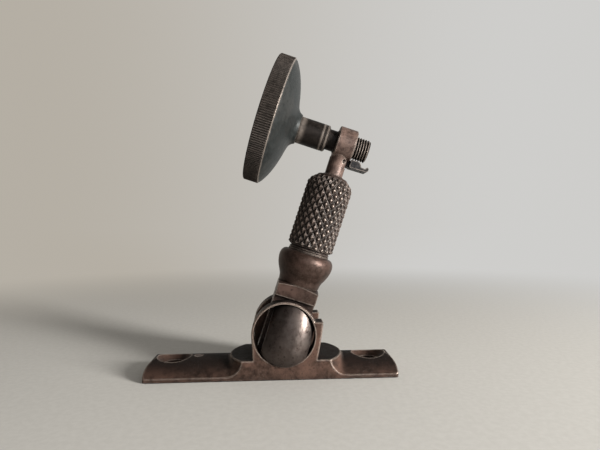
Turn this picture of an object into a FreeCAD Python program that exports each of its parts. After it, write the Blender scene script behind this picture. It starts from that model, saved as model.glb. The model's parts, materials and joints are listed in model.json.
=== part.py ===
import FreeCAD, Part
import math
import os

# Folding peep sight.  Millimetres.  Origin: middle of the base's underside, midway
# between its two screw holes.  +X forward, +Y to the far side, +Z up.

V = FreeCAD.Vector
os.makedirs("parts", exist_ok=True)

# ---- base ---------------------------------------------------------------------------
BASE_L = 49.2
BASE_W = 13.0
HALF_W = BASE_W / 2
HOLE_X = 19.8            # screw holes sit this far each side of the origin
HOLE_R = 2.0
SINK_R = 3.45            # countersink rim
EDGE_H = 0.76            # height of the flange's square side band
CROWN_H = 3.42           # top of the arched flange
NOSE_R = 1.80            # rounding down to the flange's ends
CORNER_R = 0.60          # corners of the plan
SHOULDER_H = 3.84        # flat ledges before and behind the cheeks
LEDGE_BACK = -5.80       # ends of the ledges, at the sides of the base
LEDGE_FRONT = 11.40
CHEEK_R = 6.40
CHEEK_IN = 3.25          # inner faces of the cheeks, from the middle plane
TAB_TOP = 11.05          # forward stops
TAB_FRONT = 10.05
TROUGH_R = 6.50          # clearance for the round end of the post
GROOVE_W = 4.0           # spring groove under the base
GROOVE_H = 1.30
SPRING_T = 0.45
SPRING_SCREW_X = -14.9
EDGE_ROUND = 0.25        # hand-worn edges of the cheeks
LEDGE_ROUND = 0.20       # and of the ledges and the underside

# ---- hinge --------------------------------------------------------------------------
PIVOT = V(2.5, 0, 8.6)
LEAN = 18.45             # the post's lean forward as drawn, degrees
WINDOW_R = 5.98
HEAD_R = 5.92            # runs in the window
HEAD_BACK = -3.40        # flats on the head
HEAD_FRONT = 5.30
DOME_Y = -8.05           # crown of the domed head
DOME_R = 6.50            # rounding of the head across its flats
KEY_R = 2.60             # double-D part, through the post's tongue
KEY_FLAT = 2.10
JOURNAL_R = 2.05         # runs in the far cheek
SINK_Y = 5.20            # floor of the far cheek's counterbore
SINK_BORE_R = 3.60

# ---- post (drawn upright about the pivot, then leaned) --------------------------------
TONGUE_R = 6.15
TONGUE_FLAT = 4.15
TONGUE_Y = 3.20
BLOCK_Y = 4.20
BLOCK_Z = 6.68
BULB_TOP = 16.05
TUBE_BOTTOM = 13.20
TUBE_SCREW_R = 3.30
TUBE_R = 3.60
TUBE_BORE_R = 2.75
TUBE_TOP = 27.60
SLOT_TOP = 26.75
RING_Z = 20.0            # snap ring groove
RING_T = 0.60

# ---- sleeve ---------------------------------------------------------------------------
SLEEVE_R = 9.525 / 2     # taken as 3/8 in; it sets the scale
SLEEVE_BORE_R = 3.65
SLEEVE_CEILING = 27.90
KNURL_TOP = 30.35
SLEEVE_TOP = 32.60
NUT_R = 1.90

# ---- stem, eye and leaf -----------------------------------------------------------------
STEM_R = 1.85
ROD_BOTTOM = 18.20
GUIDE_BOTTOM = 15.80
EYE_Z = 39.75
EYE_R = 3.45
EYE_BACK, EYE_FRONT = -1.62, 2.20
EYE_BORE_R = 2.43
LEAF_PIN = V(1.10, 0, 36.15)
LEAF_PIN_R = 0.40

# ---- eyepiece disc ------------------------------------------------------------------------
DISC_R = 13.1
DISC_FRONT = -17.45
DISC_BACK = -14.38
SHANK_R = 2.75
THREAD_R = 2.38          # taken as 3/16 in, 48 threads to the inch
THREAD_END = 5.25
SIGHT_R = 1.10
SEAT_R = 1.72


# ---- helpers --------------------------------------------------------------------------------
def outline(start, *steps):
    """Closed wire in the XZ plane.  A step is (x, z), or ("arc", mid, end),
    or ("curve", p1, p2, ...) for a smooth curve through the points."""
    def v(p):
        return V(p[0], 0, p[1])
    edges, here = [], v(start)
    for step in list(steps) + [start]:
        if step[0] == "arc":
            edges.append(Part.Arc(here, v(step[1]), v(step[2])).toShape())
            here = v(step[2])
        elif step[0] == "curve":
            spline = Part.BSplineCurve()
            spline.interpolate([here] + [v(p) for p in step[1:]])
            edges.append(spline.toShape())
            here = v(step[-1])
        elif here.distanceToPoint(v(step)) > 1e-7:
            edges.append(Part.makeLine(here, v(step)))
            here = v(step)
    return Part.Wire(edges)


def lathe(start, *steps):
    """Turn an outline of (radius, height) points about Z."""
    face = Part.Face(outline(start, *steps))
    return face.revolve(V(0, 0, 0), V(0, 0, 1), 360)


def plate(y0, y1, start, *steps):
    """Extrude an outline of (x, z) points from y0 to y1."""
    face = Part.Face(outline(start, *steps))
    face.translate(V(0, y0, 0))
    return face.extrude(V(0, y1 - y0, 0))


def rod(r, z0, z1, x=0, y=0):
    return Part.makeCylinder(r, z1 - z0, V(x, y, z0))


def cross(r, y0, y1, centre=V(0, 0, 0)):
    """Cylinder along Y."""
    return Part.makeCylinder(r, y1 - y0, V(centre.x, y0, centre.z), V(0, 1, 0))


def box(x0, x1, y0, y1, z0, z1):
    return Part.makeBox(x1 - x0, y1 - y0, z1 - z0, V(x0, y0, z0))


def soften(shape, radius, choose):
    """Round the edges that choose(bounding box) picks."""
    return shape.makeFillet(radius, [e for e in shape.Edges if choose(e.BoundBox)])


def along_x(shape, z):
    """Lay a shape drawn along Z onto the +X direction, at height z."""
    out = shape.copy()
    out.rotate(V(0, 0, 0), V(0, 1, 0), 90)
    out.translate(V(0, 0, z))
    return out


def on_post(shape):
    """From the upright drawing about the pivot to its leaning place."""
    out = shape.copy()
    out.rotate(V(0, 0, 0), V(0, 1, 0), LEAN)
    out.translate(PIVOT)
    return out


def save(name, shape):
    solids = shape.removeSplitter().Solids
    solid = solids[0] if len(solids) == 1 else Part.makeCompound(solids)
    solid.exportStep("parts/" + name + ".step")


# ---- base -------------------------------------------------------------------------------------
def over_arch():
    """Face in the YZ plane: the space over the flange's arched section, up to the ledges."""
    out, low, top = HALF_W + 1, 0.1, SHOULDER_H
    return Part.Face(Part.Wire([
        Part.makeLine(V(0, -out, top), V(0, -out, low)),
        Part.makeLine(V(0, -out, low), V(0, -HALF_W, EDGE_H)),
        Part.Arc(V(0, -HALF_W, EDGE_H), V(0, 0, CROWN_H), V(0, HALF_W, EDGE_H)).toShape(),
        Part.makeLine(V(0, HALF_W, EDGE_H), V(0, out, low)),
        Part.makeLine(V(0, out, low), V(0, out, top)),
        Part.makeLine(V(0, out, top), V(0, -out, top))]))


def base_slab():
    """The arched flange with the raised middle, whose ends sweep down to the arch."""
    half = BASE_L / 2
    turn = NOSE_R * math.sin(math.pi / 4)
    slab = plate(-HALF_W, HALF_W, (-half, 0), (-half, CROWN_H - NOSE_R),
                 ("arc", (-half + NOSE_R - turn, CROWN_H - NOSE_R + turn),
                  (-half + NOSE_R, CROWN_H)), (-half + NOSE_R + 1, SHOULDER_H),
                 (half - NOSE_R - 1, SHOULDER_H), (half - NOSE_R, CROWN_H),
                 ("arc", (half - NOSE_R + turn, CROWN_H - NOSE_R + turn),
                  (half, CROWN_H - NOSE_R)), (half, 0))
    plan = soften(box(-half, half, -HALF_W, HALF_W, -1, SHOULDER_H + 1), CORNER_R,
                  lambda b: b.ZLength > 1)
    slab = slab.common(plan)
    sweep = SHOULDER_H - EDGE_H
    for x, side in ((LEDGE_FRONT + sweep, 1), (LEDGE_BACK - sweep, -1)):
        above = over_arch()
        above.translate(V(x, 0, 0))
        slab = slab.cut(above.extrude(V(side * half, 0, 0)))
        slab = slab.cut(above.revolve(V(x, 0, SHOULDER_H), V(0, side, 0), 90))
    return slab


def cheek(y0, y1, outer_y):
    x = PIVOT.x
    tab_back = x + math.sqrt(CHEEK_R ** 2 - (TAB_TOP - PIVOT.z) ** 2)
    body = plate(y0, y1, (x - CHEEK_R, PIVOT.z),
                 ("arc", (x, PIVOT.z + CHEEK_R), (tab_back, TAB_TOP)), (TAB_FRONT, TAB_TOP),
                 ("arc", (TAB_FRONT - 0.50, 7.6), (TAB_FRONT - 1.25, SHOULDER_H)),
                 (TAB_FRONT - 1.25, 2.4),
                 (x - CHEEK_R + 0.25, 2.4), (x - CHEEK_R + 0.25, SHOULDER_H))
    return soften(body, EDGE_ROUND, lambda b: (abs(b.YMin - outer_y) + abs(b.YMax - outer_y) < 1e-4
                                               or b.YLength > 3 and b.ZMin > TAB_TOP - 0.1))


def ledge_edge(b):
    """Rims of the flat ledges and the side edges of the sweeps down from them."""
    rim = b.ZMin > SHOULDER_H - 1e-3 and max(-b.XMin, b.XMax) < HOLE_X
    sweep = b.YLength < 1e-3 and min(b.XLength, b.ZLength) > 2
    return rim or sweep


def make_base():
    near, far = cheek(-HALF_W, -CHEEK_IN, -HALF_W), cheek(CHEEK_IN, HALF_W, HALF_W)
    slab = soften(base_slab(), LEDGE_ROUND, ledge_edge)
    slab = soften(slab, LEDGE_ROUND, lambda b: b.ZMax < 1e-4)
    body = slab.fuse([near, far]).removeSplitter()
    body = body.cut(cross(TROUGH_R, -CHEEK_IN, CHEEK_IN, PIVOT))
    body = body.cut(cross(WINDOW_R, -HALF_W - 1, -CHEEK_IN + 0.05, PIVOT))
    body = body.cut(cross(JOURNAL_R + 0.05, CHEEK_IN - 0.05, HALF_W + 1, PIVOT))
    body = body.cut(cross(SINK_BORE_R, SINK_Y, HALF_W + 1, PIVOT))
    for side in (-1, 1):
        x = side * HOLE_X
        body = body.cut(rod(HOLE_R, -1, 6, x))
        depth = SINK_R - HOLE_R
        cone = Part.makeCone(HOLE_R, SINK_R + 1.2, depth + 1.2, V(x, 0, CROWN_H - depth))
        body = body.cut(cone)
    groove = box(-17.6, 8.6, -GROOVE_W / 2, GROOVE_W / 2, -1, GROOVE_H)
    opening = box(-1.0, 6.4, -GROOVE_W / 2, GROOVE_W / 2, 1, 4)
    body = body.cut(groove).cut(opening)
    return body.cut(rod(0.78, 1, 5, SPRING_SCREW_X))


def make_detent_spring():
    top, low = GROOVE_H, GROOVE_H - SPRING_T
    strip = plate(-1.8, 1.8, (-17.2, low), (-0.66, low),
                  ("arc", (PIVOT.x, 2.35 - SPRING_T), (6.06, low)), (8.2, low),
                  (8.2, top), (6.2, top), ("arc", (PIVOT.x, 2.35), (-0.8, top)), (-17.2, top))
    return strip.cut(rod(0.82, 0, 2, SPRING_SCREW_X))


def make_spring_screw():
    low = GROOVE_H - SPRING_T
    head = rod(1.7, 0.10, low, SPRING_SCREW_X)
    slot = box(SPRING_SCREW_X - 2, SPRING_SCREW_X + 2, -0.2, 0.2, 0, 0.42)
    return head.fuse(rod(0.76, low, 3.36, SPRING_SCREW_X)).cut(slot)


# ---- post ---------------------------------------------------------------------------------------
def make_post():
    tongue = box(-TONGUE_FLAT, TONGUE_FLAT, -TONGUE_Y, TONGUE_Y, -TONGUE_R, BLOCK_Z + 0.5)
    round_end = cross(TONGUE_R, -TONGUE_Y, TONGUE_Y)
    above = box(-TONGUE_R, TONGUE_R, -TONGUE_Y, TONGUE_Y, 0, BLOCK_Z + 0.5)
    tongue = tongue.common(round_end.fuse(above))
    block = box(-TONGUE_FLAT, TONGUE_FLAT, -BLOCK_Y, BLOCK_Y, BLOCK_Z, 9.6)
    shoulder = lathe((0, BLOCK_Z - 0.1), (6.3, BLOCK_Z - 0.1), (6.3, 8.75),
                     (5.85, 8.98), (4.2, 9.42), (0, 9.42))
    bulb = lathe((0, 9.2), (4.05, 9.2), ("curve", (4.20, 9.60), (4.30, 10.30), (4.58, 11.10),
                 (5.02, 11.95), (5.38, 12.85), (5.60, 13.75), (5.65, 14.45), (5.55, 15.10)),
                 ("curve", (5.28, 15.62), (4.95, 15.92), (4.55, BULB_TOP)), (0, BULB_TOP))
    block = soften(block.common(shoulder), 0.15, lambda b: b.ZLength > 1.5)
    post = tongue.fuse([block, bulb])
    post = post.cut(rod(TUBE_SCREW_R + 0.02, TUBE_BOTTOM, 20))
    key = cross(KEY_R + 0.02, -5, 5).common(
        box(-KEY_FLAT - 0.02, KEY_FLAT + 0.02, -5, 5, -4, 4))
    return on_post(post.cut(key))


def make_pivot_pin():
    # the shank is drawn along Z and laid along Y; the head is rounded like a barrel that
    # stands along the post, fuller at its lower end
    pin = lathe((0, DOME_Y - 1), (HEAD_R, DOME_Y - 1),
                (HEAD_R, -CHEEK_IN - 0.05), (KEY_R, -CHEEK_IN - 0.05), (KEY_R, TONGUE_Y),
                (JOURNAL_R, TONGUE_Y), (JOURNAL_R, SINK_Y + 0.05), (0, SINK_Y + 0.05))
    pin.rotate(V(0, 0, 0), V(1, 0, 0), -90)
    pin = pin.common(box(HEAD_BACK, HEAD_FRONT, -10, 9, -9, 9))
    flats = box(-KEY_FLAT, KEY_FLAT, -CHEEK_IN - 0.05, TONGUE_Y + 9, -9, 9)
    pin = pin.common(flats.fuse(box(-9, 9, -10, -CHEEK_IN - 0.05, -9, 9)))
    barrel = lathe((0, -6.1), (DOME_R - 1.30, -6.1),
                   ("curve", (DOME_R - 0.65, -5.5), (DOME_R - 0.20, -4.6), (DOME_R, -3.2),
                    (DOME_R - 0.10, -1.4), (DOME_R - 0.36, 0.6), (DOME_R - 0.78, 2.6),
                    (DOME_R - 1.35, 4.4), (DOME_R - 2.05, 6.1)), (0, 6.1))
    barrel.translate(V((HEAD_BACK + HEAD_FRONT) / 2, DOME_Y + DOME_R, 0))
    pin = pin.common(barrel.fuse(box(-9, 9, -CHEEK_IN - 0.5, 9, -9, 9)))
    return on_post(pin.cut(cross(1.0, 1.6, 6)))


def make_pivot_washer():
    ring = cross(3.30, SINK_Y + 0.05, SINK_Y + 0.45)
    return on_post(ring.cut(cross(1.15, 5, 6)))


def make_pivot_screw():
    head = cross(3.20, SINK_Y + 0.45, SINK_Y + 1.55)
    slot = box(-4, 4, SINK_Y + 0.95, 8, -0.4, 0.4)
    return on_post(head.fuse(cross(0.98, 2.0, SINK_Y + 0.5)).cut(slot))


def make_guide_tube():
    tube = rod(TUBE_SCREW_R, TUBE_BOTTOM, BULB_TOP).fuse(rod(TUBE_R, BULB_TOP, TUBE_TOP))
    tube = tube.cut(rod(TUBE_BORE_R, TUBE_BOTTOM - 1, TUBE_TOP + 1))
    tube = tube.cut(box(-4, -2, -0.6, 0.6, TUBE_BOTTOM - 1, SLOT_TOP))
    groove = rod(5, RING_Z, RING_Z + RING_T + 0.1).cut(rod(TUBE_R - 0.35, 19, 22))
    return on_post(tube.cut(groove))


def make_snap_ring():
    low = RING_Z + 0.05
    ring = rod(3.92, low, low + RING_T).cut(rod(TUBE_R - 0.32, 19, 22))
    return on_post(ring.cut(box(2, 5, -0.9, 0.9, 19, 22)))


def make_friction_washer():
    ring = rod(4.22, BULB_TOP + 0.02, BULB_TOP + 0.42)
    return on_post(ring.cut(rod(TUBE_R + 0.04, 16, 18)))


def make_knurled_sleeve():
    low = BULB_TOP + 0.50
    body = lathe((SLEEVE_BORE_R, low), (4.05, low), (4.15, low + 0.08), (4.15, low + 0.30),
                 (3.98, low + 0.38), (3.98, low + 0.52), (4.30, low + 0.62),
                 (SLEEVE_R, low + 0.98), (SLEEVE_R, KNURL_TOP),
                 ("arc", (4.36, KNURL_TOP + 0.98), (3.30, KNURL_TOP + 1.90)),
                 (3.05, SLEEVE_TOP), (2.45, SLEEVE_TOP), (2.15, SLEEVE_TOP + 0.30),
                 (NUT_R, SLEEVE_TOP + 0.30),
                 (NUT_R, SLEEVE_CEILING), (SLEEVE_BORE_R, SLEEVE_CEILING))
    groove = rod(3.97, RING_Z, RING_Z + RING_T + 0.1)
    return on_post(body.cut(groove))


# ---- stem -----------------------------------------------------------------------------------------
def make_eyelet_stem():
    stem = rod(STEM_R, ROD_BOTTOM, EYE_Z - EYE_R + 0.3)
    root = lathe((0, 34.6), (STEM_R, 34.6), ("curve", (1.88, 35.4), (2.05, 36.4), (2.35, 37.2)),
                 (0, 37.2))
    eye = Part.makeCylinder(EYE_R, EYE_FRONT - EYE_BACK, V(EYE_BACK, 0, EYE_Z), V(1, 0, 0))
    eye = eye.makeChamfer(0.18, [e for e in eye.Edges if e.Length > 20])
    root = root.common(box(EYE_BACK, EYE_FRONT, -3, 3, 34, 38))
    stem = stem.fuse([root, eye])
    stem = stem.fuse(box(-1.0, 1.0, -1.0, 1.0, ROD_BOTTOM - 1.0, ROD_BOTTOM + 0.2))
    stem = stem.cut(Part.makeCylinder(EYE_BORE_R, 9, V(-4, 0, EYE_Z), V(1, 0, 0)))
    stem = stem.cut(rod(0.62, GUIDE_BOTTOM, 20.4))
    slot = box(0.15, 4, -0.85, 0.85, 34.9, 37.25)
    return on_post(stem.cut(slot).cut(cross(LEAF_PIN_R + 0.01, -3, 3, LEAF_PIN)))


def make_stem_guide():
    body = rod(TUBE_BORE_R - 0.05, GUIDE_BOTTOM, ROD_BOTTOM)
    body = body.fuse(box(-3.25, -1, -0.5, 0.5, GUIDE_BOTTOM, ROD_BOTTOM))
    body = body.cut(box(-1.02, 1.02, -1.02, 1.02, ROD_BOTTOM - 1.02, ROD_BOTTOM + 1))
    return on_post(body.cut(rod(0.66, GUIDE_BOTTOM - 1, ROD_BOTTOM + 1)))


def make_guide_screw():
    head = rod(1.5, GUIDE_BOTTOM - 1.0, GUIDE_BOTTOM)
    slot = box(-2, 2, -0.2, 0.2, GUIDE_BOTTOM - 2, GUIDE_BOTTOM - 0.55)
    return on_post(head.fuse(rod(0.60, GUIDE_BOTTOM, 20.0)).cut(slot))


def make_leaf_pin():
    return on_post(cross(LEAF_PIN_R, -1.42, 1.42, LEAF_PIN))


def make_turn_down_leaf():
    p = LEAF_PIN
    lug = cross(0.80, -0.80, 0.80, p).fuse(box(p.x, 2.9, -0.80, 0.80, p.z - 0.80, p.z + 0.70))
    hook = plate(-1.7, 1.7, (2.45, 35.40), (6.05, 35.48), ("arc", (6.30, 35.74), (6.28, 36.35)),
                 (5.98, 36.50), ("arc", (5.76, 36.16), (5.35, 36.06)), (4.70, 36.12),
                 ("arc", (4.40, 36.75), (3.70, 37.02)), (2.45, 37.02))
    leaf = lug.fuse(hook).cut(cross(LEAF_PIN_R + 0.04, -3, 3, p))
    return on_post(leaf.cut(rod(0.35, 35, 38, 5.05)))


# ---- eyepiece disc ----------------------------------------------------------------------------------
def make_eyepiece_disc():
    disc = lathe((SIGHT_R, THREAD_END), (SIGHT_R, -12.70), (SEAT_R, -12.70), (SEAT_R, -14.80),
                 (3.2, -14.80), ("curve", (6.2, -15.10), (9.5, -15.90), (11.75, -17.05)),
                 (12.05, DISC_FRONT), (DISC_R - 0.15, DISC_FRONT), (DISC_R, DISC_FRONT + 0.15),
                 (DISC_R, DISC_BACK - 0.12), (DISC_R - 0.12, DISC_BACK),
                 ("curve", (12.25, -13.74), (10.65, -12.85), (8.75, -12.10), (6.80, -11.53),
                  (5.10, -11.15), (4.05, -10.85), (3.40, -10.40), (3.05, -9.80)),
                 (SHANK_R, -9.65),
                 (SHANK_R, -3.75), (SHANK_R - 0.25, -3.54), (2.15, -3.42), (2.15, -1.95),
                 (THREAD_R, -1.75), (THREAD_R, THREAD_END - 0.25), (2.15, THREAD_END))
    return on_post(along_x(disc, EYE_Z))


def make_aperture_insert():
    cup = lathe((0.50, -13.10), (0.50, -13.75), (1.25, -14.60), (1.60, -15.12), (2.25, -15.12),
                (2.35, -14.98), (2.35, -14.85), (SEAT_R - 0.05, -14.85), (SEAT_R - 0.05, -12.80),
                (1.20, -12.80))
    return on_post(along_x(cup, EYE_Z))


PARTS = {
    "base": make_base,
    "detent_spring": make_detent_spring,
    "spring_screw": make_spring_screw,
    "post": make_post,
    "pivot_pin": make_pivot_pin,
    "pivot_washer": make_pivot_washer,
    "pivot_screw": make_pivot_screw,
    "guide_tube": make_guide_tube,
    "snap_ring": make_snap_ring,
    "friction_washer": make_friction_washer,
    "knurled_sleeve": make_knurled_sleeve,
    "eyelet_stem": make_eyelet_stem,
    "stem_guide": make_stem_guide,
    "guide_screw": make_guide_screw,
    "leaf_pin": make_leaf_pin,
    "turn_down_leaf": make_turn_down_leaf,
    "eyepiece_disc": make_eyepiece_disc,
    "aperture_insert": make_aperture_insert,
}

for name, make in PARTS.items():
    save(name, make())
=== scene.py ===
import json
import math

import bpy
import numpy as np
from mathutils import Matrix, Vector


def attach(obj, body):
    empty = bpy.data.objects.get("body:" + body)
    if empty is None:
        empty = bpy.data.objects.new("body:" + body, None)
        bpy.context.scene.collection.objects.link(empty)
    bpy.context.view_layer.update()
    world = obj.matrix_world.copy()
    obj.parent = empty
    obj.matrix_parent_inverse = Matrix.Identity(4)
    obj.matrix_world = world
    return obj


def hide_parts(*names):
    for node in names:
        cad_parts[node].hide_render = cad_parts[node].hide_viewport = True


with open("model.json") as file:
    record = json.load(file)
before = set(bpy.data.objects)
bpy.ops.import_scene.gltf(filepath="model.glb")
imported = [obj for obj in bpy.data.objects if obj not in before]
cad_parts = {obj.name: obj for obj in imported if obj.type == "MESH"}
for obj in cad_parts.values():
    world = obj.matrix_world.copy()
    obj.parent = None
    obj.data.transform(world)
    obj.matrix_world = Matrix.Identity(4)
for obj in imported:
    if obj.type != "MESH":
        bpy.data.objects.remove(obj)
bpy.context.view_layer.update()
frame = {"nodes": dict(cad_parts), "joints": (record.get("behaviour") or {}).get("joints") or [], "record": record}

MM = 0.001
scene = bpy.context.scene
nodes = frame["nodes"]
joints = {j["name"]: j for j in frame["joints"]}

# ---- axes and sizes, read from the frame --------------------------------------------------
SIDE = Vector((0, 1, 0))
PIVOT = Vector(joints["post_fold"]["pos_m"])
STEM_AXIS = Vector(joints["sleeve_turn"]["axis"]).normalized()    # up the post
DISC_AXIS = Vector(joints["disc_turn"]["axis"]).normalized()      # forward through the eye
EYE = Vector(joints["disc_turn"]["pos_m"])


def axes_matrix(origin, z_axis):
    """Local Z along z_axis, local Y across the base, local X = Y x Z; local unit 1 mm."""
    x_axis = SIDE.cross(z_axis).normalized()
    turn = Matrix((x_axis, SIDE, z_axis)).transposed().to_4x4()
    return Matrix.Translation(origin) @ turn @ Matrix.Scale(MM, 4)


POST = axes_matrix(PIVOT, STEM_AXIS)
DISC = axes_matrix(EYE, DISC_AXIS)


def along_axis(node, matrix):
    """Lowest and highest point of a CAD node along a matrix's Z, and its greatest radius, mm."""
    points = [matrix.inverted() @ v.co for v in nodes[node].data.vertices]
    heights = [p.z for p in points]
    return min(heights), max(heights), max(math.hypot(p.x, p.y) for p in points)


SLEEVE_LOW, SLEEVE_HIGH, SLEEVE_R = along_axis("knurled_sleeve", POST)
DISC_FRONT, THREAD_END, DISC_R = along_axis("eyepiece_disc", DISC)


# ---- turned surfaces with cut patterns ------------------------------------------------------
SHARP_DEG = 38


def dense(points, step):
    """Points along an open polyline, no further apart than step, corners kept."""
    out = [points[0]]
    for a, b in zip(points, points[1:]):
        n = max(1, math.ceil(math.dist(a, b) / step))
        out += [(a[0] + (b[0] - a[0]) * k / n, a[1] + (b[1] - a[1]) * k / n)
                for k in range(1, n + 1)]
    return out


def smooth_curve(points, per_span=6):
    """Catmull-Rom curve through 2-D points."""
    p = [points[0]] + list(points) + [points[-1]]
    out = [points[0]]
    for a, b, c, d in zip(p, p[1:], p[2:], p[3:]):
        for k in range(1, per_span + 1):
            t = k / per_span
            out.append(tuple(0.5 * (2 * b[i] + (c[i] - a[i]) * t
                                    + (2 * a[i] - 5 * b[i] + 4 * c[i] - d[i]) * t * t
                                    + (3 * b[i] - a[i] - 3 * c[i] + d[i]) * t ** 3)
                             for i in (0, 1)))
    return out


def profile_table(parts):
    """Closed (radius, height) profile as arrays, with the name of the part each row is in.
    parts: (name, points, step) in order; a part starts where the one before it ended."""
    rows, names = [], []
    for name, points, step in parts:
        run = dense(points, step) if step else points
        for point in run:
            if rows and math.dist(rows[-1], point) < 1e-6:
                continue
            rows.append(point)
            names.append(name)
    table = np.array(rows)
    ahead, behind = np.roll(table, -1, axis=0), np.roll(table, 1, axis=0)
    run = ahead - behind
    normal = np.stack([run[:, 1], -run[:, 0]], axis=1)
    normal /= np.linalg.norm(normal, axis=1)[:, None] + 1e-12
    length = np.concatenate([[0], np.cumsum(np.linalg.norm(np.diff(table, axis=0), axis=1))])
    return table, normal, length, np.array(names)


def triangle_wave(u):
    """0 on whole numbers, 1 half way between."""
    return 1 - np.abs(2 * (u - np.floor(u)) - 1)


def smooth_step(low, high, x):
    t = np.clip((x - low) / (high - low), 0, 1)
    return t * t * (3 - 2 * t)


def turned_piece(name, radius, height, angle, matrix, marks):
    """A closed turned surface from (rows x columns) arrays.  marks: colour attributes."""
    rows, cols = radius.shape
    verts = np.stack([radius * np.cos(angle), radius * np.sin(angle), height], axis=-1)
    index = np.arange(rows * cols).reshape(rows, cols)
    below = np.roll(index, -1, axis=0)
    faces = np.stack([index, np.roll(index, -1, axis=1), np.roll(below, -1, axis=1), below],
                     axis=-1).reshape(-1, 4)
    mesh = bpy.data.meshes.new(name)
    mesh.vertices.add(rows * cols)
    mesh.vertices.foreach_set("co", verts.reshape(-1))
    mesh.loops.add(faces.size)
    mesh.loops.foreach_set("vertex_index", faces.reshape(-1))
    mesh.polygons.add(len(faces))
    mesh.polygons.foreach_set("loop_start", np.arange(0, faces.size, 4))
    mesh.polygons.foreach_set("use_smooth", np.ones(len(faces), bool))
    mesh.update(calc_edges=True)
    mesh.transform(matrix)
    for mark, values in marks.items():
        layer = mesh.color_attributes.new(mark, "FLOAT_COLOR", "POINT")
        rgba = np.ones((rows * cols, 4), np.float32)
        rgba[:, :3] = values.reshape(-1, 1)
        layer.data.foreach_set("color", rgba.reshape(-1))
    mesh.set_sharp_from_angle(angle=math.radians(SHARP_DEG))
    obj = bpy.data.objects.new(name, mesh)
    scene.collection.objects.link(obj)
    return obj


# ---- knurled sleeve ----------------------------------------------------------------------------
KNURL_STARTS = 20          # grooves of each hand
KNURL_AXIAL = 2.0          # mm between crossings up the sleeve
KNURL_DEPTH = 0.36
BORE_R, BORE_HIGH, NUT_R = 3.65, 27.90, 1.90     # as the solid sleeve


def make_sleeve():
    low, high, r = SLEEVE_LOW, SLEEVE_HIGH, SLEEVE_R
    shoulder = high - 2.55
    crown = [(r, shoulder), (r - 0.11, shoulder + 0.45), (r - 0.40, shoulder + 0.98),
             (r - 0.86, shoulder + 1.48), (r - 1.46, shoulder + 1.90)]
    table, normal, length, names = profile_table([
        ("plain", [(BORE_R, low), (4.05, low), (4.15, low + 0.08), (4.15, low + 0.30),
                   (3.98, low + 0.38), (3.98, low + 0.52), (4.30, low + 0.62)], 0.06),
        ("knurl", [(4.30, low + 0.62), (r, low + 0.98), (r, shoulder)], 0.09),
        ("knurl", smooth_curve(crown, 6), 0),
        ("plain", [crown[-1], (3.05, high - 0.34), (2.98, high - 0.30), (2.50, high - 0.30),
                   (2.42, high - 0.27), (2.15, high), (NUT_R, high)], 0.08),
        ("plain", [(NUT_R, high), (NUT_R, BORE_HIGH), (BORE_R, BORE_HIGH), (BORE_R, low + 0.05)],
         0.8)])
    columns = KNURL_STARTS * 14
    angle = np.tile(np.arange(columns) * 2 * np.pi / columns, (len(table), 1))
    turn = KNURL_STARTS * angle / (2 * np.pi)
    rise = length[:, None] / KNURL_AXIAL
    flank = np.minimum(triangle_wave(turn + rise), triangle_wave(turn - rise))
    on_knurl = (names == "knurl").astype(float)
    ends = length[names == "knurl"]
    on_knurl *= smooth_step(0.0, 0.25, length - ends[0]) * smooth_step(0.0, 0.30, ends[-1] - length)
    tip = smooth_step(0.0, 0.86, flank)
    cut = on_knurl[:, None] * KNURL_DEPTH * (1 - 0.55 * tip - 0.45 * np.minimum(flank / 0.8, 1))
    radius = table[:, :1] - cut * normal[:, :1]
    height = table[:, 1:] - cut * normal[:, 1:]
    wear = on_knurl[:, None] * smooth_step(0.58, 1.0, flank) * 0.80
    groove = on_knurl[:, None] * (1 - smooth_step(0.0, 0.55, flank))
    return turned_piece("sleeve_knurl", radius, height, angle, POST,
                        {"wear": wear, "brown": groove})


# ---- eyepiece disc -------------------------------------------------------------------------------
RIM_TEETH = 190
RIM_DEPTH = 0.15
THREAD_PITCH = 0.529       # taken as 48 threads to the inch
THREAD_DEPTH = 0.30
THREAD_R = 2.38
SHANK_R = 2.75


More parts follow.
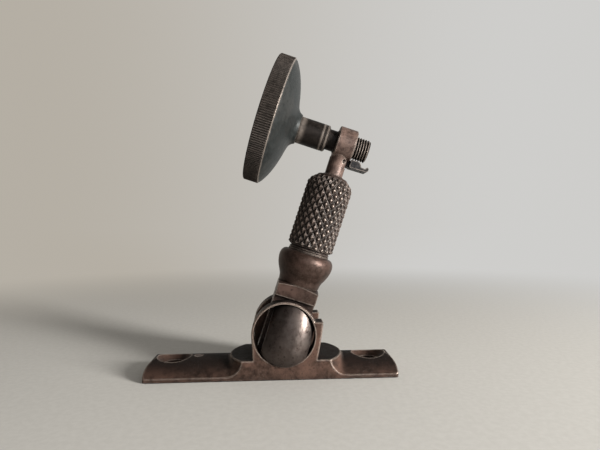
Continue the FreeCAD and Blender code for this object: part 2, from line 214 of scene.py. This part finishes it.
def make_disc():
    front, r, back = DISC_FRONT, DISC_R, DISC_FRONT + 3.07
    sight_r, seat_r = 1.10, 1.72
    dish = [(3.2, front + 2.65), (6.2, front + 2.35), (9.5, front + 1.55), (r - 1.35, front + 0.40)]
    fall = [(r - 0.10, back), (r - 0.85, back + 0.64), (r - 2.45, back + 1.53),
            (r - 4.35, back + 2.28), (r - 6.3, back + 2.85), (r - 8.0, back + 3.23),
            (4.05, back + 3.53), (3.40, back + 3.98), (3.05, back + 4.58)]
    table, normal, length, names = profile_table([
        ("bore", [(sight_r, THREAD_END), (sight_r, -12.70), (seat_r, -12.70),
                  (seat_r, front + 2.65), (3.2, front + 2.65)], 3.0),
        ("dish", smooth_curve(dish, 7), 0),
        ("dish", [dish[-1], (r - 1.05, front), (r - 0.16, front)], 0.2),
        ("rim", [(r - 0.12, front + 0.02), (r, front + 0.14), (r, back - 0.10),
                 (r - 0.08, back - 0.02)], 0.7),
        ("fall", smooth_curve(fall, 5), 0),
        ("shank", [(3.05, back + 4.58), (2.98, back + 4.66), (2.72, back + 4.70),
                   (SHANK_R, back + 4.80), (SHANK_R, -4.32), (SHANK_R - 0.07, -4.27),
                   (SHANK_R - 0.07, -4.17), (SHANK_R, -4.12), (SHANK_R, -3.75),
                   (SHANK_R - 0.25, -3.54), (2.15, -3.42), (2.15, -1.95)], 0.20),
        ("thread", [(THREAD_R, -1.75), (THREAD_R, THREAD_END - 0.22), (2.16, THREAD_END - 0.01)],
         THREAD_PITCH / 8),
        ("bore", [(2.05, THREAD_END), (sight_r + 0.05, THREAD_END)], 0)])
    columns = RIM_TEETH * 2
    angle = np.tile(np.arange(columns) * 2 * np.pi / columns, (len(table), 1))
    part = {name: (names == name).astype(float)[:, None] for name in np.unique(names)}
    tooth = triangle_wave(angle * RIM_TEETH / (2 * np.pi))
    crest = triangle_wave(angle / (2 * np.pi) - table[:, 1:] / THREAD_PITCH)
    radius = table[:, :1] - part["rim"] * RIM_DEPTH * (1 - tooth)
    on_thread = part["thread"] * smooth_step(-1.75, -1.35, table[:, 1:])
    radius = radius - on_thread * np.clip(THREAD_DEPTH * (1 - 1.18 * crest), 0, None) \
        * (1 - 0.6 * smooth_step(THREAD_END - 0.25, THREAD_END, table[:, 1:]))
    height = np.tile(table[:, 1:], (1, columns))
    rings = (np.exp(-((table[:, 1:] + 4.75) / 0.14) ** 2)
             + np.exp(-((table[:, 1:] + 3.85) / 0.12) ** 2))
    root = 0.55 * np.exp(-((table[:, 1:] - back - 5.2) / 0.5) ** 2)
    wear = (part["rim"] * 0.10 * tooth + on_thread * 0.62 * smooth_step(0.45, 1.0, crest)
            + part["shank"] * np.clip(rings + root, 0, 1) * 0.8
            + part["fall"] * 0.9 * smooth_step(r - 0.35, r - 0.10, table[:, :1]))
    brown = part["rim"] + part["shank"] + part["thread"] + 0.6 * part["bore"]
    brown = np.tile(brown, (1, columns))
    wear = np.clip(np.broadcast_to(wear, radius.shape), 0, 1).copy()
    return turned_piece("disc_body", radius, height, angle, DISC, {"wear": wear, "brown": brown})


sleeve = make_sleeve()
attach(sleeve, "sleeve")
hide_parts("knurled_sleeve")

disc = make_disc()
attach(disc, "disc")
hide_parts("eyepiece_disc")

# ---- materials ---------------------------------------------------------------------------------
def node(tree, kind, inputs=None, **settings):
    """A shader node; inputs are sockets to link or values to set."""
    made = tree.nodes.new("ShaderNode" + kind)
    for key, value in settings.items():
        setattr(made, key, value)
    for key, value in (inputs or {}).items():
        if isinstance(value, bpy.types.NodeSocket):
            tree.links.new(value, made.inputs[key])
        else:
            made.inputs[key].default_value = value
    return made


def calc(tree, operation, a, b=0.0, clamp=False):
    return node(tree, "Math", {0: a, 1: b}, operation=operation, use_clamp=clamp).outputs[0]


def band(tree, value, low, high, to_low=0.0, to_high=1.0):
    """Smooth step of value from low to high."""
    return node(tree, "MapRange", {"Value": value, "From Min": low, "From Max": high,
                                   "To Min": to_low, "To Max": to_high},
                interpolation_type="SMOOTHSTEP").outputs["Result"]


def noise(tree, vector, scale, detail=3.0, rough=0.55):
    return node(tree, "TexNoise", {"Vector": vector, "Scale": scale, "Detail": detail,
                                   "Roughness": rough}).outputs["Fac"]


def blend(tree, fac, a, b):
    """Colour a where fac is 0, b where it is 1."""
    mix = node(tree, "Mix", data_type="RGBA")
    for socket, value in ((mix.inputs[0], fac), (mix.inputs[6], a), (mix.inputs[7], b)):
        if isinstance(value, bpy.types.NodeSocket):
            tree.links.new(value, socket)
        else:
            socket.default_value = (*value, 1) if isinstance(value, tuple) else value
    return mix.outputs[2]


def turned_marks(tree, place, origin, axis, scale):
    """Noise that depends only on the height along an axis and the distance from it."""
    reach = node(tree, "VectorMath", {0: place, 1: tuple(origin)}, operation="SUBTRACT").outputs[0]
    height = node(tree, "VectorMath", {0: reach, 1: tuple(axis)}, operation="DOT_PRODUCT")
    shaft = node(tree, "VectorMath", {0: tuple(axis), "Scale": height.outputs["Value"]},
                 operation="SCALE").outputs[0]
    out = node(tree, "VectorMath", {0: reach, 1: shaft}, operation="SUBTRACT").outputs[0]
    radius = node(tree, "VectorMath", {0: out}, operation="LENGTH").outputs["Value"]
    where = node(tree, "CombineXYZ", {"X": height.outputs["Value"], "Y": radius}).outputs[0]
    return noise(tree, where, scale, 4.0, 0.7)


WORN = (0.43, 0.36, 0.31)         # bare steel under a thin brown film


def aged_steel(name, dark, mid, warm, rough=0.46, metal=0.35, shine=0.30, edge=0.8,
               wear_mark=False, brown=None, turned=None, turned_depth=0.25, rub=0.22, top_shade=0.3,
               edge_width=0.32):
    """Old browned or blued steel: cloudy patina, pits, worn edges, dirt and painted shade in corners and hollows,
    painted shade on top surfaces.
    wear_mark: the mesh says where crests are worn.  brown: colour where the mesh says brown.
    turned: (origin, axis) of lathe marks.  rub: bright specks.  settled: how dark the painted shade
    on top surfaces is.  edge_width: mm of wear along an edge."""
    material = bpy.data.materials.new(name)
    material.use_nodes = True
    tree = material.node_tree
    surface = tree.nodes["Principled BSDF"]
    coords = node(tree, "TexCoord").outputs
    place = coords["Object"]
    clouds = noise(tree, place, 190.0, 4.0, 0.6)
    mottle = noise(tree, place, 950.0, 6.0, 0.68)
    grain = noise(tree, place, 5200.0, 3.0, 0.6)
    pits = node(tree, "TexVoronoi", {"Vector": place, "Scale": 1500.0, "Randomness": 1.0},
                feature="SMOOTH_F1").outputs["Distance"]

    colour = blend(tree, band(tree, mottle, 0.36, 0.64), dark, mid)
    colour = blend(tree, band(tree, clouds, 0.46, 0.68, 0.0, 0.85), colour, warm)
    if brown:
        mark = node(tree, "VertexColor", layer_name="brown").outputs["Color"]
        tint = blend(tree, band(tree, mottle, 0.34, 0.66), tuple(0.45 * c for c in brown), brown)
        colour = blend(tree, mark, colour, tint)
    pit_mask = band(tree, pits, 0.10, 0.26, 1.0, 0.0)
    pit_mask = calc(tree, "MULTIPLY", pit_mask, band(tree, clouds, 0.40, 0.60))
    pit_colour = tuple(0.3 * c for c in dark)
    colour = blend(tree, calc(tree, "MULTIPLY", pit_mask, 0.55), colour, pit_colour)

    # painted shade: the colour is darkened by ambient occlusion in small corners (partly dirt) and in deep
    # hollows, where shade falls
    corner = node(tree, "AmbientOcclusion", {"Distance": 1.3 * MM}, samples=5).outputs["AO"]
    hollow = node(tree, "AmbientOcclusion", {"Distance": 6.0 * MM}, samples=5).outputs["AO"]
    dirt_and_painted_shade = calc(tree, "MAXIMUM", band(tree, corner, 0.35, 0.95, 0.75, 0.0),
                 band(tree, hollow, 0.12, 0.62, 0.95, 0.0))
    # painted shade: surfaces that face up are darkened, as if the light came from the side
    facing = node(tree, "SeparateXYZ", {0: coords["Normal"]}).outputs["Z"]
    dirt_and_painted_shade = calc(tree, "MAXIMUM", dirt_and_painted_shade, band(tree, facing, 0.60, 0.97, 0.0, top_shade))
    colour = blend(tree, dirt_and_painted_shade, colour, tuple(0.22 * c for c in dark))

    rounded = node(tree, "Bevel", {"Radius": edge_width * MM}, samples=5).outputs["Normal"]
    true_normal = node(tree, "NewGeometry").outputs["Normal"]
    match = node(tree, "VectorMath", {0: rounded, 1: true_normal}, operation="DOT_PRODUCT")
    bend = calc(tree, "SUBTRACT", 1.0, match.outputs["Value"])
    worn_edge = band(tree, bend, 0.004, 0.045)
    worn_edge = calc(tree, "MULTIPLY", worn_edge, band(tree, corner, 0.62, 0.92))
    worn_edge = calc(tree, "MULTIPLY", worn_edge, band(tree, hollow, 0.35, 0.62))
    worn_edge = calc(tree, "MULTIPLY", worn_edge, band(tree, mottle, 0.30, 0.60, 0.30, 1.0))
    wear = calc(tree, "MULTIPLY", worn_edge, edge)
    if wear_mark:
        mark = node(tree, "VertexColor", layer_name="wear").outputs["Color"]
        crest = calc(tree, "MULTIPLY", mark, band(tree, mottle, 0.28, 0.62, 0.45, 1.0))
        wear = calc(tree, "MAXIMUM", wear, crest)
    rubbed = calc(tree, "MULTIPLY", band(tree, grain, 0.56, 0.78),
                  band(tree, clouds, 0.35, 0.60, rub, 0.03))
    wear = calc(tree, "MAXIMUM", wear, rubbed, clamp=True)
    colour = blend(tree, wear, colour, WORN)

    tree.links.new(colour, surface.inputs["Base Color"])
    tree.links.new(band(tree, wear, 0.0, 1.0, metal, 1.0), surface.inputs["Metallic"])
    patchy = band(tree, mottle, 0.25, 0.75, rough - 0.07, rough + 0.12)
    smooth = calc(tree, "SUBTRACT", patchy, calc(tree, "MULTIPLY", wear, 0.12))
    tree.links.new(calc(tree, "ADD", smooth, calc(tree, "MULTIPLY", dirt_and_painted_shade, 0.25)),
                   surface.inputs["Roughness"])
    surface.inputs["Specular IOR Level"].default_value = shine

    relief = calc(tree, "ADD", calc(tree, "MULTIPLY", mottle, 0.6),
                  calc(tree, "MULTIPLY", grain, 0.4))
    relief = calc(tree, "SUBTRACT", relief, calc(tree, "MULTIPLY", pit_mask, 0.5))
    if turned:
        marks = turned_marks(tree, place, turned[0], turned[1], 3800.0)
        relief = calc(tree, "ADD", relief, calc(tree, "MULTIPLY", marks, turned_depth * 4))
    bump = node(tree, "Bump", {"Height": relief, "Strength": 0.35, "Distance": 0.03 * MM})
    tree.links.new(bump.outputs["Normal"], surface.inputs["Normal"])
    return material


STEM_LINE = (PIVOT, STEM_AXIS)
DISC_LINE = (EYE, DISC_AXIS)
PIN_LINE = (PIVOT, SIDE)
FINISHES = {
    # the base's up-facing surfaces get nearly full painted shade
    "base_steel": aged_steel("base_steel", (0.022, 0.012, 0.0085), (0.062, 0.036, 0.026),
                             (0.100, 0.056, 0.041), rough=0.48, metal=0.25, shine=0.18, edge=1.0,
                             top_shade=0.92, edge_width=0.45),
    "post_steel": aged_steel("post_steel", (0.030, 0.017, 0.012), (0.060, 0.037, 0.029),
                             (0.090, 0.053, 0.042), rough=0.40, metal=0.60, shine=0.35, edge=0.9,
                             turned=STEM_LINE, turned_depth=0.16),
    "pin_steel": aged_steel("pin_steel", (0.050, 0.038, 0.033), (0.068, 0.055, 0.049),
                            (0.078, 0.060, 0.052), rough=0.31, metal=0.85, shine=0.50, edge=0.4,
                            rub=0.05),
    "sleeve_steel": aged_steel("sleeve_steel", (0.013, 0.008, 0.006), (0.042, 0.027, 0.022),
                               (0.060, 0.038, 0.031), rough=0.44, metal=0.30, shine=0.22,
                               edge=0.3, wear_mark=True, brown=(0.007, 0.0045, 0.0035)),
    "stem_steel": aged_steel("stem_steel", (0.060, 0.037, 0.030), (0.135, 0.089, 0.072),
                             (0.180, 0.112, 0.088), rough=0.44, metal=0.36, shine=0.4, edge=0.9,
                             turned=DISC_LINE, turned_depth=0.08),
    "disc_steel": aged_steel("disc_steel", (0.013, 0.0145, 0.014), (0.022, 0.0245, 0.024),
                             (0.030, 0.030, 0.028), rough=0.45, metal=0.30, shine=0.20, edge=0.12,
                             rub=0.06, wear_mark=True, brown=(0.015, 0.011, 0.009),
                             turned=DISC_LINE),
    "insert_steel": aged_steel("insert_steel", (0.012, 0.012, 0.012), (0.030, 0.029, 0.028),
                               (0.040, 0.034, 0.030), rough=0.6, metal=0.2, edge=0.5,
                               turned=DISC_LINE),
    "leaf_steel": aged_steel("leaf_steel", (0.010, 0.0095, 0.0095), (0.024, 0.023, 0.024),
                             (0.036, 0.030, 0.027), rough=0.42, metal=0.40, shine=0.25, edge=0.5),
    "spring_steel": aged_steel("spring_steel", (0.030, 0.032, 0.045), (0.070, 0.075, 0.100),
                               (0.100, 0.080, 0.070), rough=0.38, metal=0.6, edge=0.7),
    "screw_steel": aged_steel("screw_steel", (0.030, 0.021, 0.017), (0.075, 0.054, 0.045),
                              (0.105, 0.068, 0.054), rough=0.40, metal=0.5, edge=1.0,
                              turned=PIN_LINE, turned_depth=0.12),
    "inner_steel": aged_steel("inner_steel", (0.110, 0.100, 0.090), (0.230, 0.215, 0.200),
                              (0.200, 0.160, 0.130), rough=0.34, metal=0.8, edge=0.5,
                              turned=STEM_LINE),
    "washer_steel": aged_steel("washer_steel", (0.028, 0.020, 0.017), (0.065, 0.048, 0.040),
                               (0.085, 0.058, 0.046), rough=0.4, metal=0.5, edge=0.8,
                               turned=STEM_LINE)}

for part in frame["record"]["subparts"]:
    finish = FINISHES[part["material_slot"]]
    mesh = nodes[part["node"]].data
    mesh.materials.clear()
    mesh.materials.append(finish)
sleeve.data.materials.append(FINISHES["sleeve_steel"])
disc.data.materials.append(FINISHES["disc_steel"])

# ---- camera ------------------------------------------------------------------------------------
CAMERA_PLACE = Vector((1.42, -93.59, 29.83)) * MM
CAMERA_TURN = 2.78         # degrees to the right of +Y
CAMERA_TILT = -0.055
CAMERA_ROLL = 0.516
LENS_MM = 27.3

camera_data = bpy.data.cameras.new("camera")
camera_data.lens = LENS_MM
camera_data.sensor_width = 36
camera_data.clip_start = 0.005
camera = bpy.data.objects.new("camera", camera_data)
camera.matrix_world = (Matrix.Translation(CAMERA_PLACE)
                       @ Matrix.Rotation(math.radians(-CAMERA_TURN), 4, "Z")
                       @ Matrix.Rotation(math.radians(90 + CAMERA_TILT), 4, "X")
                       @ Matrix.Rotation(math.radians(-CAMERA_ROLL), 4, "Z"))
scene.collection.objects.link(camera)
scene.camera = camera
scene.view_settings.view_transform = "Standard"

# ---- floor and light -----------------------------------------------------------------------------
PALE_LEFT = (0.46, 0.425, 0.37)
PALE_RIGHT = (0.62, 0.615, 0.60)
DIM = (0.10, 0.096, 0.09)
FLOOR_HALF = 3.0
FADE_NEAR, FADE_FAR = 0.05, 0.24   # where the floor turns into the studio's colour

floor_mesh = bpy.data.meshes.new("floor")
floor_mesh.from_pydata([(-FLOOR_HALF, -FLOOR_HALF, 0), (FLOOR_HALF, -FLOOR_HALF, 0),
                        (FLOOR_HALF, FLOOR_HALF, 0), (-FLOOR_HALF, FLOOR_HALF, 0)],
                       [], [(0, 1, 2, 3)])
floor = bpy.data.objects.new("floor", floor_mesh)
scene.collection.objects.link(floor)
paper = bpy.data.materials.new("floor_paper")
paper.use_nodes = True
paper_place = node(paper.node_tree, "TexCoord").outputs["Object"]
paper_cloud = band(paper.node_tree, noise(paper.node_tree, paper_place, 900.0, 4.0, 0.6), 0.3, 0.7)
paper_colour = blend(paper.node_tree, paper_cloud, (0.60, 0.58, 0.54), (0.64, 0.62, 0.58))
paper_surface = paper.node_tree.nodes["Principled BSDF"]
paper.node_tree.links.new(paper_colour, paper_surface.inputs["Base Color"])
paper_surface.inputs["Roughness"].default_value = 0.9
paper_surface.inputs["Specular IOR Level"].default_value = 0.1
floor_mesh.materials.append(paper)

# the studio is pale behind the object and dim above and in front of it
world = bpy.data.worlds.new("studio")
world.use_nodes = True
sky = world.node_tree


def studio_colour(tree, way):
    """The studio's colour in a direction."""
    axis = node(tree, "SeparateXYZ", {0: way}).outputs
    lit = calc(tree, "ADD", axis["Y"], calc(tree, "MULTIPLY", axis["Z"], -0.75))
    pale = blend(tree, band(tree, axis["X"], -0.5, 0.5), PALE_LEFT, PALE_RIGHT)
    return blend(tree, band(tree, lit, -0.55, 0.40), DIM, pale)


sky_colour = studio_colour(sky, node(sky, "TexCoord").outputs["Generated"])
sky.links.new(sky_colour, sky.nodes["Background"].inputs["Color"])
scene.world = world

# far from the object the floor glows with the studio's own colour, painted light rather than lit paper, so it
# shows no horizon
apart = node(paper.node_tree, "VectorMath", {0: paper_place}, operation="LENGTH").outputs["Value"]
outward = node(paper.node_tree, "VectorMath", {0: paper_place}, operation="NORMALIZE").outputs[0]
far_floor_glow = node(paper.node_tree, "Emission", {"Color": studio_colour(paper.node_tree, outward)})
fade = node(paper.node_tree, "MixShader",
            {0: band(paper.node_tree, apart, FADE_NEAR, FADE_FAR),
             1: paper_surface.outputs[0], 2: far_floor_glow.outputs[0]})
paper.node_tree.links.new(fade.outputs[0],
                          paper.node_tree.nodes["Material Output"].inputs["Surface"])

TARGET = Vector((0, 0, 0.030))     # what the lights point at


def area_light(name, azimuth, elevation, distance, size, power, color):
    """A soft light of (width, height); azimuth in degrees to the right of the camera's side."""
    a, e = math.radians(azimuth), math.radians(elevation)
    way_out = Vector((math.sin(a) * math.cos(e), -math.cos(a) * math.cos(e), math.sin(e)))
    data = bpy.data.lights.new(name, "AREA")
    data.shape = "ELLIPSE"
    data.size, data.size_y = size
    data.energy = power
    data.color = color
    lamp = bpy.data.objects.new(name, data)
    lamp.location = TARGET + distance * way_out
    lamp.rotation_euler = (-way_out).to_track_quat("-Z", "Y").to_euler()
    scene.collection.objects.link(lamp)


area_light("key", 55, 5, 0.42, (0.10, 0.26), 6.0, (1.0, 0.985, 0.96))
area_light("front", 15, 20, 0.55, (0.50, 0.40), 0.7, (0.98, 0.99, 1.0))
